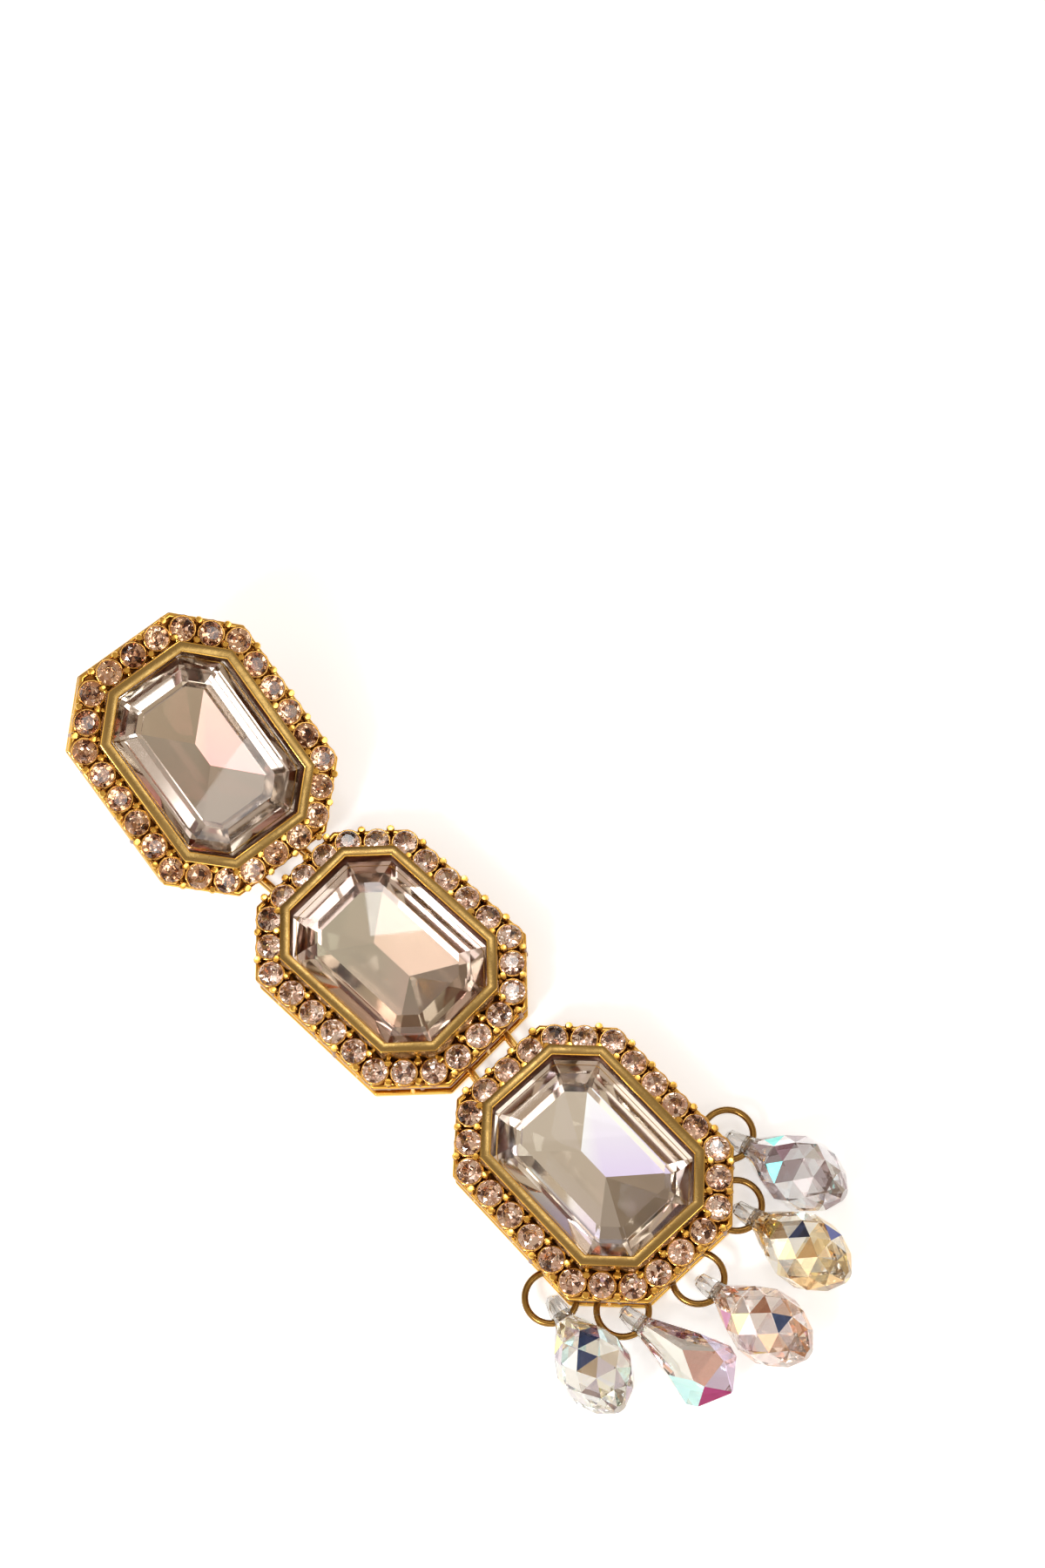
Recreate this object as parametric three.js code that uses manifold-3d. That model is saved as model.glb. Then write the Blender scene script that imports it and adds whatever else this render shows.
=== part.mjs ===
// Chandelier earring lying on a table: three octagonal crystal settings in a row, joined by wire
// links, with five faceted drops on jump rings round the lower end.
// Millimetres, +Z up. The origin is the middle of the middle setting's back, and +Y runs towards
// the top setting, which leans on its ear post.
import * as THREE from 'three';
import { ConvexGeometry } from 'three/addons/geometries/ConvexGeometry.js';
import { mergeVertices } from 'three/addons/utils/BufferGeometryUtils.js';
import Module from 'manifold-3d';

const wasm = await Module();
wasm.setup();

// Centre crystal: a step-cut octagon
const crystalLength = 18;
const crystalWidth = 13;
const crystalCorner = 2.95;
const girdleHeight = 0.3;
const crownHeight = 1.3;
const pavilionDepth = 3.75;
const keelLength = 6.2;
// Steps of the cut: how far in from the girdle, as a share of half the width, and how far up or
// down, as a share of the crown's height or the pavilion's depth
const crownSteps = [
  { inset: 0.2, rise: 0.66 },
  { inset: 0.4, rise: 1 },
];
const pavilionSteps = [
  { inset: 0.34, drop: 0.55 },
  { inset: 0.66, drop: 0.86 },
];

// Cup that holds the crystal, with a lip folded over the girdle
const stoneGap = 0.1;
const cupWall = 0.52;
const backThickness = 0.5;
const keelGap = 0.4;
const lipCover = 0.22;
const rimRise = 0.2;
const ledgeWidth = 0.7;

// Halo of small round stones, each in its own collet, with a pair of bead prongs between them
const haloCount = 26;
const haloOffset = 2.06;
const haloStoneRadius = 1.14;
const haloTableRadius = 0.64;
const haloCrownHeight = 0.45;
const haloSides = 8;
const haloSink = 0.1;
const colletRadius = 1.36;
const colletHeight = 0.9;
const scallopAngle = 30;
const holeWidth = 1.3;
const beadRadius = 0.32;
const beadSides = 5;
const beadSpread = 0.68;

// Open gallery below the halo
const galleryOutset = 3.25;
const railWidth = 0.6;
const railHeight = 0.6;
const windowHeight = 1.8;
const bandInset = 0.4;
const bandWidth = 0.7;
const bandHeight = 0.6;
const stubWidth = 0.6;
const longStubSpread = 5;

// Wire of the links and the jump rings
const wireRadius = 0.3;
const wireSides = 6;
const wireGap = 0.05;
const floorGap = 0.03;
const loopSteps = 16;
const linkSpread = 2.3;
const ringRadius = 2.25;

// How the settings lie: distance between the rails that a pair of links joins, turn of each
// outer setting, and how far it is shifted sideways
const topRailGap = 3.3;
const topTurn = -8;
const topShift = -0.1;
const bottomRailGap = 2.3;
const bottomTurn = -3.8;
const bottomShift = -0.46;

// Straight ear post on a round pad, which props the top setting up
const postRadius = 0.45;
const postLength = 10;
const postOffset = 6.5;
const padRadius = 1.9;
const padThickness = 0.45;
const postSides = 16;

// Faceted drops, drilled across the neck
const dropLength = 12;
const dropRadius = 3.2;
const boreRadius = 0.56;
const boreSides = 8;
// Rows of corners along a drop, from the head's tip to the far point. Along is a share of the
// length measured from the bore, radius a share of the drop's radius, and turn a share of a facet.
const briolette = {
  sides: 9,
  head: [
    { along: -0.19, radius: 0.13, turn: 0 },
    { along: -0.165, radius: 0.22, turn: 0.5 },
    { along: -0.05, radius: 0.29, turn: 0 },
    { along: 0.09, radius: 0.34, turn: 0.5 },
  ],
  body: [
    { along: 0.05, radius: 0.33, turn: 0 },
    { along: 0.13, radius: 0.55, turn: 0.5 },
    { along: 0.26, radius: 0.82, turn: 0 },
    { along: 0.4, radius: 0.98, turn: 0.5 },
    { along: 0.53, radius: 1, turn: 0 },
    { along: 0.65, radius: 0.86, turn: 0.5 },
    { along: 0.75, radius: 0.6, turn: 0 },
    { along: 0.81, radius: 0.25, turn: 0.5 },
  ],
};
const spearCut = {
  sides: 6,
  head: [
    { along: -0.19, radius: 0.13, turn: 0 },
    { along: -0.165, radius: 0.22, turn: 0 },
    { along: -0.05, radius: 0.29, turn: 0 },
    { along: 0.09, radius: 0.34, turn: 0 },
  ],
  body: [
    { along: 0.03, radius: 0.33, turn: 0 },
    { along: 0.4, radius: 0.8, turn: 0 },
    { along: 0.6, radius: 0.97, turn: 0.5 },
    { along: 0.68, radius: 0.84, turn: 0.5 },
    { along: 0.81, radius: 0.06, turn: 0 },
  ],
};
// Jump rings round the lower setting. Each hooks round one stub of the gallery. Bearing is the
// way from the stub to the ring's centre, reach how far it hangs out, as a share of what the ring
// allows, and heading the way that its drop points, all seen from above in degrees.
const hangers = [
  { side: 'right', bearing: -41, reach: 0.97, heading: -74, cut: briolette, roll: 12 },
  { side: 'right_corner', bearing: -107, reach: 0.97, heading: -79, cut: briolette, roll: 26 },
  { side: 'end', bearing: -94, reach: 0.95, heading: -80, cut: briolette, roll: 0 },
  { side: 'left_corner', bearing: -77, reach: 0.95, heading: -81, cut: spearCut, roll: 14 },
  { side: 'left', bearing: -140, reach: 0.97, heading: -102, cut: briolette, roll: 33 },
];

const gold = { color: 0xd9a441, roughness: 0.22, metalness: 1 };
const clearCrystal = { color: 0xc9bfb2, roughness: 0.05, metalness: 0.1 };
const rainbowCrystal = { color: 0xd8d4e6, roughness: 0.04, metalness: 0.1 };

// Heights in a setting, measured from its back
const railCornerReach = Math.hypot(railWidth, railHeight) / 2;
const loopRadius = railCornerReach + wireGap + wireRadius;
const railMiddleZ = loopRadius + wireRadius + floorGap;
const railTopZ = railMiddleZ + railHeight / 2;
const bandBottomZ = railTopZ + windowHeight;
const bandTopZ = bandBottomZ + bandHeight;
const colletTopZ = bandTopZ + colletHeight * 0.6;
const girdleBottomZ = backThickness + keelGap + pavilionDepth;
const girdleTopZ = girdleBottomZ + girdleHeight;
const rimZ = girdleTopZ + crownHeight + rimRise;

const CORNER_GROWTH = 2 - Math.SQRT2;

// Corner points of the octagon that runs a given distance outside the crystal's outline
function octagonPoints(outset) {
  const x = crystalWidth / 2 + outset;
  const y = crystalLength / 2 + outset;
  const leg = crystalCorner + outset * CORNER_GROWTH;
  return [
    [x - leg, y], [x, y - leg], [x, leg - y], [x - leg, -y],
    [leg - x, -y], [-x, leg - y], [-x, y - leg], [leg - x, y],
  ].map(([px, py]) => new THREE.Vector2(px, py));
}

// The octagon's sides clockwise, from the top right corner cut round to the top side
function octagonSides(outset) {
  const corners = octagonPoints(outset);
  return corners.map((start, i) => {
    const end = corners[(i + 1) % corners.length];
    const along = end.clone().sub(start).normalize();
    return { start, end, along, outward: new THREE.Vector2(-along.y, along.x) };
  });
}

// Point that lies a given way round an octagon, starting from the middle of its top side
function walkOctagon(outset, distance) {
  const sides = octagonSides(outset);
  const top = sides[sides.length - 1];
  let left = distance + top.start.distanceTo(top.end) / 2;
  for (const side of [top, ...sides]) {
    const length = side.start.distanceTo(side.end);
    if (left <= length) {
      return { point: side.start.clone().addScaledVector(side.along, left), side };
    }
    left -= length;
  }
  throw new Error('the distance runs past the octagon');
}

function octagonPerimeter(outset) {
  return octagonSides(outset).reduce((sum, side) => sum + side.start.distanceTo(side.end), 0);
}

// A closed geometry as a solid that can be joined and cut
function solid(geometry) {
  const bare = geometry.clone();
  bare.deleteAttribute('normal');
  bare.deleteAttribute('uv');
  const merged = mergeVertices(bare, 1e-5);
  return new wasm.Manifold(new wasm.Mesh({
    numProp: 3,
    vertProperties: new Float32Array(merged.attributes.position.array),
    triVerts: new Uint32Array(merged.index.array),
  }));
}

function union(solids) {
  return solids.reduce((whole, piece) => whole.add(piece));
}

function geometryOf(body) {
  const { vertProperties, triVerts } = body.getMesh();
  const geometry = new THREE.BufferGeometry();
  geometry.setAttribute('position', new THREE.BufferAttribute(vertProperties, 3));
  geometry.setIndex(new THREE.BufferAttribute(triVerts, 1));
  const flat = geometry.toNonIndexed();
  flat.computeVertexNormals();
  return flat;
}

// Upright block of any outline
function block(outline, bottom, top) {
  const shape = new THREE.Shape(outline);
  const geometry = new THREE.ExtrudeGeometry(shape, { depth: top - bottom, bevelEnabled: false });
  return solid(geometry.translate(0, 0, bottom));
}

// Octagonal wall of a given width, running inwards from its outset
function octagonWall(outset, width, bottom, top) {
  const inside = block(octagonPoints(outset - width), bottom - 1, top + 1);
  return block(octagonPoints(outset), bottom, top).subtract(inside);
}

// Cup with a closed back, a ledge below the girdle, a pocket and the lip that holds the crystal
function cup() {
  const firstFacet = pavilionSteps[0];
  const facetSlope = (firstFacet.drop * pavilionDepth) / (firstFacet.inset * crystalWidth / 2);
  const ledgeZ = girdleBottomZ - ledgeWidth * facetSlope - stoneGap;
  const crownSlope = (crownSteps[0].rise * crownHeight) / (crownSteps[0].inset * crystalWidth / 2);
  const lipZ = girdleTopZ + lipCover * crownSlope + stoneGap;
  return block(octagonPoints(stoneGap + cupWall), 0, rimZ)
    .subtract(block(octagonPoints(-ledgeWidth), backThickness, ledgeZ + stoneGap))
    .subtract(block(octagonPoints(stoneGap), ledgeZ, lipZ))
    .subtract(block(octagonPoints(-lipCover), lipZ - stoneGap, rimZ + 1));
}

// Middle of one stub on the rail, given the side of the octagon and the way along it
function stubPlace(sideIndex, along) {
  const side = octagonSides(galleryOutset - railWidth / 2)[sideIndex];
  const middle = side.start.clone().add(side.end).divideScalar(2);
  return { point: middle.addScaledVector(side.along, along), side };
}

// Places of the stubs, by the numbers of the octagon's sides
const stubPlaces = {
  top_right_corner: stubPlace(0, 0),
  right_top: stubPlace(1, -longStubSpread),
  right_middle: stubPlace(1, 0),
  right: stubPlace(1, longStubSpread),
  right_corner: stubPlace(2, 0),
  end: stubPlace(3, 0),
  left_corner: stubPlace(4, 0),
  left: stubPlace(5, -longStubSpread),
  left_middle: stubPlace(5, 0),
  left_top: stubPlace(5, longStubSpread),
  top_left_corner: stubPlace(6, 0),
  top: stubPlace(7, 0),
};

function turnedBox(width, depth, bottom, top, point, side) {
  const box = new THREE.BoxGeometry(width, depth, top - bottom);
  box.rotateZ(Math.atan2(side.along.y, side.along.x));
  return solid(box.translate(point.x, point.y, (top + bottom) / 2));
}

// Rail, stubs and band: the wall with long open windows under the halo
function gallery() {
  const stubs = Object.values(stubPlaces).map(({ point, side }) =>
    turnedBox(stubWidth, railWidth * 0.9, railMiddleZ, bandTopZ, point, side));
  return union([
    octagonWall(galleryOutset, railWidth, railTopZ - railHeight, railTopZ),
    octagonWall(galleryOutset - bandInset, bandWidth, bandBottomZ, bandTopZ),
    ...stubs,
  ]);
}

// Place of one stone or one gap on the halo's path, counted from the middle of the top side
function haloPlace(index) {
  const { point, side } = walkOctagon(haloOffset, (index * octagonPerimeter(haloOffset)) / haloCount);
  const at = (along, outward) =>
    point.clone().addScaledVector(side.along, along).addScaledVector(side.outward, outward);
  return { point, side, at };
}

// Pierced plate of joined collets: scalloped outside, with a hole between each two and the cup
function haloPlate() {
  const bottom = colletTopZ - colletHeight;
  const scallop = THREE.MathUtils.degToRad(scallopAngle);
  const outline = [];
  const holes = [block(octagonPoints(stoneGap + cupWall / 2), bottom - 1, colletTopZ + 1)];
  for (let i = 0; i < haloCount; i += 1) {
    const { at } = haloPlace(i);
    for (const angle of [-scallop, 0, scallop]) {
      outline.push(at(colletRadius * Math.sin(angle), colletRadius * Math.cos(angle)));
    }
    const gap = haloPlace(i + 0.5);
    const floor = stoneGap + cupWall - haloOffset;
    const roof = -beadSpread - beadRadius;
    const corners = [
      gap.at(-holeWidth / 2, floor), gap.at(holeWidth / 2, floor),
      gap.at(holeWidth / 6, roof), gap.at(-holeWidth / 6, roof),
    ];
    holes.push(block(corners, bottom - 1, colletTopZ + 1));
  }
  return block(outline, bottom, colletTopZ).subtract(union(holes));
}

// Round brilliants, each a flat table above eight crown facets, and the beads that hold them
function haloStones() {
  const height = haloCrownHeight + haloSink;
  const pieces = [];
  for (let i = 0; i < haloCount; i += 1) {
    const { point, side } = haloPlace(i);
    const crown = new THREE.CylinderGeometry(haloTableRadius, haloStoneRadius, height, haloSides);
    crown.rotateX(Math.PI / 2).rotateZ(Math.atan2(side.along.y, side.along.x));
    pieces.push(solid(crown.translate(point.x, point.y, colletTopZ + haloCrownHeight - height / 2)));
    for (const way of [-1, 1]) {
      const bead = new THREE.SphereGeometry(beadRadius, beadSides, 2).rotateX(Math.PI / 2);
      const place = haloPlace(i + 0.5).at(0, way * beadSpread);
      pieces.push(solid(bead.translate(place.x, place.y, colletTopZ + beadRadius / 4)));
    }
  }
  return union(pieces);
}

// Step-cut crystal: table, crown steps, girdle, pavilion steps and a keel
function crystalGeometry() {
  const half = crystalWidth / 2;
  const levels = [
    ...crownSteps.map(({ inset, rise }) => [-inset * half, girdleTopZ + rise * crownHeight]),
    [0, girdleTopZ],
    [0, girdleBottomZ],
    ...pavilionSteps.map(({ inset, drop }) => [-inset * half, girdleBottomZ - drop * pavilionDepth]),
  ];
  const points = levels.flatMap(([outset, z]) =>
    octagonPoints(outset).map((p) => new THREE.Vector3(p.x, p.y, z)));
  const keelZ = girdleBottomZ - pavilionDepth;
  points.push(new THREE.Vector3(0, keelLength / 2, keelZ), new THREE.Vector3(0, -keelLength / 2, keelZ));
  return new ConvexGeometry(points);
}

// Closed wire loop in the XZ plane: two half circles joined by straight runs along X
class LoopCurve extends THREE.Curve {
  constructor(radius, span) {
    super();
    this.radius = radius;
    this.span = span;
  }

  getPoint(t, target = new THREE.Vector3()) {
    const bendSteps = loopSteps / 2 - 1;
    const step = t * loopSteps;
    const end = step < loopSteps / 2 ? 1 : -1;
    const local = step < loopSteps / 2 ? step : step - loopSteps / 2;
    const angle = Math.PI * (Math.min(local / bendSteps, 1) - 0.5);
    const run = Math.max(local - bendSteps, 0);
    const x = end * (this.span / 2 + this.radius * Math.cos(angle) - run * this.span);
    return target.set(x, 0, end * this.radius * Math.sin(angle));
  }

  // The loop is closed, so its direction at the seam is taken across the seam
  getTangent(t, target = new THREE.Vector3()) {
    const reach = 1e-4;
    return target.copy(this.getPoint((t + reach) % 1)).sub(this.getPoint((t + 1 - reach) % 1)).normalize();
  }

  getUtoTmapping(u) {
    return u;
  }
}

// Wire bent into a link: the swept wall alone closes on itself, so its two end faces are left off
function linkGeometry(span) {
  const section = new THREE.Shape();
  for (let i = 0; i < wireSides; i += 1) {
    const angle = (2 * Math.PI * i) / wireSides;
    const x = wireRadius * Math.cos(angle);
    const y = wireRadius * Math.sin(angle);
    if (i === 0) {
      section.moveTo(x, y);
    } else {
      section.lineTo(x, y);
    }
  }
  const extrudePath = new LoopCurve(loopRadius, span);
  const swept = new THREE.ExtrudeGeometry(section, { steps: loopSteps, extrudePath });
  const wall = swept.groups[1];
  const positions = swept.attributes.position.array.slice(3 * wall.start, 3 * (wall.start + wall.count));
  const geometry = new THREE.BufferGeometry();
  geometry.setAttribute('position', new THREE.BufferAttribute(positions, 3));
  return geometryOf(solid(geometry));
}

function jumpRingGeometry() {
  const profile = [];
  for (let i = 0; i <= wireSides; i += 1) {
    const angle = (2 * Math.PI * (i % wireSides)) / wireSides;
    profile.push(new THREE.Vector2(
      ringRadius + wireRadius * Math.cos(angle), wireRadius * Math.sin(angle)));
  }
  const ring = new THREE.LatheGeometry(profile, loopSteps).rotateX(Math.PI / 2);
  return geometryOf(solid(ring));
}

// Drop along +X with its bore along Y through the origin
function dropGeometry(cut, roll) {
  const hull = (rows) => {
    const points = rows.flatMap(({ along, radius, turn }) => {
      const corners = [];
      for (let i = 0; i < cut.sides; i += 1) {
        const angle = (2 * Math.PI * (i + turn)) / cut.sides + THREE.MathUtils.degToRad(roll);
        const r = radius * dropRadius;
        corners.push(new THREE.Vector3(along * dropLength, r * Math.cos(angle), r * Math.sin(angle)));
      }
      return corners;
    });
    return solid(new ConvexGeometry(points));
  };
  const outer = boreRadius / Math.cos(Math.PI / boreSides);
  const bore = new THREE.CylinderGeometry(outer, outer, 2 * dropRadius, boreSides);
  return geometryOf(hull(cut.head).add(hull(cut.body)).subtract(solid(bore)));
}

// Pitch at which a drop that hangs from its bore at a given height lies with its belly on the table
function dropPitch(cut, boreZ) {
  const fall = boreZ - floorGap;
  return Math.max(...cut.body.map(({ along, radius }) => {
    const run = along * dropLength;
    const belly = radius * dropRadius;
    return Math.atan2(belly, run) - Math.asin(Math.min(1, fall / Math.hypot(run, belly)));
  }));
}

function postGeometry() {
  const pad = new THREE.CylinderGeometry(padRadius, padRadius, padThickness, postSides);
  const shaft = new THREE.CylinderGeometry(postRadius, postRadius, postLength, postSides);
  pad.rotateX(Math.PI / 2).translate(0, 0, -wireGap - padThickness / 2);
  shaft.rotateX(Math.PI / 2).translate(0, 0, -wireGap - postLength / 2);
  return geometryOf(solid(pad).add(solid(shaft)));
}

function namedMesh(name, geometry, look) {
  const mesh = new THREE.Mesh(geometry, new THREE.MeshStandardMaterial(look));
  mesh.name = name;
  return mesh;
}

// Lean of the top setting, at which the edge of its post's tip touches the table
function postLean() {
  const run = crystalLength / 2 + galleryOutset - railWidth / 2 + postOffset - postRadius;
  const drop = wireGap + postLength + railMiddleZ;
  return Math.atan2(drop, run) - Math.asin(railMiddleZ / Math.hypot(drop, run));
}

const settingShape = geometryOf(union([cup(), gallery(), haloPlate(), haloStones()]));
const crystalShape = crystalGeometry();
const railReach = crystalLength / 2 + galleryOutset - railWidth / 2;

function medallion(name) {
  const body = new THREE.Group();
  body.add(namedMesh(`setting_${name}`, settingShape, gold));
  body.add(namedMesh(`crystal_${name}`, crystalShape, clearCrystal));
  return body;
}

const earring = new THREE.Group();
const middle = medallion('middle');
earring.add(middle);

// The top setting turns and leans about its own lower rail
const topHinge = new THREE.Group();
topHinge.position.set(topShift, railReach + topRailGap, railMiddleZ);
topHinge.rotation.z = THREE.MathUtils.degToRad(topTurn);
const topLean = new THREE.Group();
topLean.rotation.x = postLean();
const top = medallion('top');
top.position.set(0, railReach, -railMiddleZ);
const post = namedMesh('ear_post', postGeometry(), gold);
post.position.y = postOffset;
top.add(post);
topLean.add(top);
topHinge.add(topLean);
earring.add(topHinge);

const bottomHinge = new THREE.Group();
bottomHinge.position.set(bottomShift, -railReach - bottomRailGap, 0);
bottomHinge.rotation.z = THREE.MathUtils.degToRad(bottomTurn);
const bottom = medallion('bottom');
bottom.position.y = -railReach;
bottomHinge.add(bottom);
earring.add(bottomHinge);
earring.updateMatrixWorld(true);

// Where a link passes round a setting's rail, at one side of its upper or lower end
function railPoint(setting, end, x) {
  return setting.localToWorld(new THREE.Vector3(x, end * railReach, railMiddleZ));
}

const linkEnds = [
  { joint: 'upper', side: 'left', x: -linkSpread, above: top, below: middle },
  { joint: 'upper', side: 'right', x: linkSpread, above: top, below: middle },
  { joint: 'lower', side: 'left', x: -linkSpread, above: middle, below: bottom },
  { joint: 'lower', side: 'right', x: linkSpread, above: middle, below: bottom },
].map((link) => ({
  ...link,
  from: railPoint(link.below, 1, link.x),
  to: railPoint(link.above, -1, link.x),
}));

// All four links are alike, and the one across the widest gap is nearly taut
const linkSpan = wireGap + Math.max(...linkEnds.map(({ from, to }) => from.distanceTo(to)));
const linkShape = linkGeometry(linkSpan);
for (const { joint, side, from, to } of linkEnds) {
  const link = namedMesh(`link_${joint}_${side}`, linkShape, gold);
  link.position.copy(from).add(to).divideScalar(2);
  link.rotation.z = Math.atan2(to.y - from.y, to.x - from.x);
  earring.add(link);
}

// Rings lie level in the windows, and each drop rests its belly on the table
const ringZ = railTopZ + wireGap + 1.6 * wireRadius;
const ringShape = jumpRingGeometry();
const ringReach = ringRadius - wireRadius - Math.hypot(stubWidth, railWidth) / 2 - wireGap;
hangers.forEach(({ side, bearing, reach, heading, cut, roll }, i) => {
  const stub = stubPlaces[side].point;
  const out = THREE.MathUtils.degToRad(bearing);
  const ring = namedMesh(`jump_ring_${i + 1}`, ringShape, gold);
  ring.position.set(
    stub.x + reach * ringReach * Math.cos(out), stub.y + reach * ringReach * Math.sin(out), ringZ);
  ring.rotation.z = THREE.MathUtils.degToRad(heading);
  bottom.add(ring);

  const drop = namedMesh(`drop_${i + 1}`, dropGeometry(cut, roll), rainbowCrystal);
  const neckRadius = cut.head.at(-1).radius * dropRadius;
  drop.position.set(ringRadius - (neckRadius ** 2) / (4 * ringRadius), 0, 0);
  drop.rotation.y = -dropPitch(cut, ringZ);
  ring.add(drop);
});

export default earring;
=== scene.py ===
"""Looks of a chandelier earring that lies on a white table.

Sizes are in millimetres in a setting's own frame, which is the earring's frame at the middle
setting: +Z out of the crystal's table and +Y along the earring. MM turns them into metres.
"""
import math
import random

import bmesh
import bpy
import numpy as np
from bmesh.types import BMEdge, BMVert
from mathutils import Matrix, Vector


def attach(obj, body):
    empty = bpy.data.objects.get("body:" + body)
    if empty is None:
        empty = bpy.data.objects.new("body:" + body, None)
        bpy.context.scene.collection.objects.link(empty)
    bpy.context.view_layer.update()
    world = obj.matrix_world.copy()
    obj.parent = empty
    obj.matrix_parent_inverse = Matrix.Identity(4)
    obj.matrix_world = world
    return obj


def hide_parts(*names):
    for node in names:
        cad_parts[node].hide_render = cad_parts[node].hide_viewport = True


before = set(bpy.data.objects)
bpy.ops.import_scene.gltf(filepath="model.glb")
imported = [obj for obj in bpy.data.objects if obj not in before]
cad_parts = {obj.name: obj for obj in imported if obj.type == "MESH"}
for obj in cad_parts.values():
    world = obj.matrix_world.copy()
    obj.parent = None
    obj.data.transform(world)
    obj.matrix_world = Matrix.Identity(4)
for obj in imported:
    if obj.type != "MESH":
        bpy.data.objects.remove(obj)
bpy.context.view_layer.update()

MM = 0.001
ROOT = "root"
MERGE = 1e-4
ROUND_SEGMENTS = 2

# Crystal, as long and wide as the frame's crystal, with the heights of its cut
CRYSTAL_LENGTH = 18
CRYSTAL_WIDTH = 13
CRYSTAL_CORNER = 2.95
GIRDLE_TOP = 4.95
GIRDLE_BOTTOM = 4.65
TABLE_HEIGHT = 6.25
PAVILION_DEPTH = 3.75
KEEL_LENGTHS = {"top": 2.4, "middle": 4.6, "bottom": 3.2}
KEEL_INSET = 0.3
# Steps of the cut: how far each goes in, and how far up or down
FLAT_CROWN = ((1.6, 0.94), (1.0, 0.36))
CROWN_STEPS = {"top": ((1.3, 0.86), (1.3, 0.44)), "middle": FLAT_CROWN, "bottom": FLAT_CROWN}
ONE_STEP = ((2.6, 2.75),)
PAVILION_STEPS = {"top": ((1.6, 1.78), (1.4, 1.17)), "middle": ONE_STEP, "bottom": ONE_STEP}

# Cup round the crystal; below the shadow line its outer wall is painted in shade
BACK_THICKNESS = 0.5
BACK_OVERLAP = 0.05
SHADOW_LINE = 3.1
RIM_HEIGHT = 6.45
RIM_OUTER = 0.84
RIM_ROUND = 0.09
LIP_INSET = 0.07
LIP_FOOT_INSET = 0.26
LIP_DEPTH = 1.3
POCKET_OUTSET = 0.1
LEDGE_HEIGHT = 3.9
LEDGE_INSET = 0.8

# Halo of small stones in collets, on a plate, with bead prongs between them
HALO_COUNT = 26
HALO_SEED = 7
HALO_OFFSET = 2.06
COLLET_TOP = 4.34
COLLET_EDGE = 0.25
COLLET_SEGMENTS = 20
PLATE_BOTTOM = 3.0
PLATE_TOP = 3.3
PLATE_OVERLAP = 0.1
STONE_RADIUS = 1.12
STONE_CROWN = 0.42
STONE_TIP = -0.92
STONE_SINK = 0.02
STONE_TILT = 0.1
BEAD_RADIUS = 0.38
BEAD_TOP = 5.02
BEAD_SEGMENTS = 9
BEAD_DRIFT = 0.06
BEAD_SHIFT = 0.05
BEAD_TILT = 0.09
INNER_BEAD = 0.78
OUTER_BEAD = 1.0
INNER_PRONG = 0.7
BAR_THICKNESS = 0.34
BAR_ROUND = 0.1
BAR_LEAN = -0.3
BAR_OVERLAP = 0.3
BAR_BELOW_BEAD = 0.4

# Gallery below the halo
BAND_OUTSET = 3.34
BAND_WIDTH = 0.5
BAND_BOTTOM = 3.2
BAND_TOP = 3.8
RAIL_OUTSET = 3.25
RAIL_SIZE = 0.6
RAIL_BOTTOM = 0.8
GALLERY_ROUND = 0.13
STUB_SEGMENTS = 10
LONG_SIDE = 0.9 * CRYSTAL_WIDTH
LONG_STUB_SPREAD = 5

# Upward part of a face's normal: a wall and a bead's flank have less than this and get painted
# shade, a flat rim has more, and a small stone's foiled facets have less
BEZEL_WALL = 0.4
PLAIN_WALL = 0.3
BEAD_FLANK = 0.25
BEZEL_FLAT = 0.97
FOIL_SIDE = -0.2

# Wire
WIRE_RADIUS = 0.3
WIRE_SIDES = 14
LINK_BEND = 0.774
BEND_STEPS = 14
LINK_MERGE = 1e-3
RING_RADIUS = 2.25
RING_STEPS = 48
RING_SLIT = 0.05
MOST_SLIT_TURN = 6

# Drops: the bore lies this far from the head's tip, as a share of the length
BORE_SHARE = 0.19
BORE_RADIUS = 0.5
BORE_DEPTH = 4
BORE_SEGMENTS = 16
DROP_RADIUS = 3.2
DROP_COUNT = 5
DROP_SEED = 11
HEAD_SIDES = 8
BRIOLETTE_SIDES = 9
SPEAR_SIDES = 6
SPEAR_DROP = 4

# How much longer an octagon's corner legs get for each millimetre that it grows outwards
CORNER_GROWTH = 2 - math.sqrt(2)

# Angles above which an edge is rounded or kept sharp, and below which facets are one, in degrees
ROUND_ABOVE = 30
SHARP_BEZEL = 40
SHARP_CASTING = 50
SHARP_WIRE = 60
SAME_STONE_FACET = 1.5
SAME_DROP_FACET = 2


# ---------------------------------------------------------------- octagons
def octagon(outset):
    """Corners of the octagon that runs a given distance outside the crystal's outline."""
    x = CRYSTAL_WIDTH / 2 + outset
    y = CRYSTAL_LENGTH / 2 + outset
    leg = CRYSTAL_CORNER + outset * CORNER_GROWTH
    return [Vector(p) for p in (
        (x - leg, y), (x, y - leg), (x, leg - y), (x - leg, -y),
        (leg - x, -y), (-x, leg - y), (-x, y - leg), (leg - x, y))]


def octagon_sides(outset):
    """Start, end and direction of each side, in the order of the corners."""
    corners = octagon(outset)
    return [(a, b, (b - a).normalized()) for a, b in zip(corners, corners[1:] + corners[:1])]


def bearing(vert):
    """Angle of a corner clockwise from +Y, which puts corners in the order of octagon."""
    return math.atan2(vert.co.x, vert.co.y) % (2 * math.pi)


def walk_octagon(outset, distance):
    """Point and direction a given way round an octagon, from the middle of its top side."""
    sides = octagon_sides(outset)
    top = sides[-1]
    left = distance + (top[1] - top[0]).length / 2
    for start, end, along in [top, *sides]:
        length = (end - start).length
        if left <= length:
            return start + along * left, along
        left -= length


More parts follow.
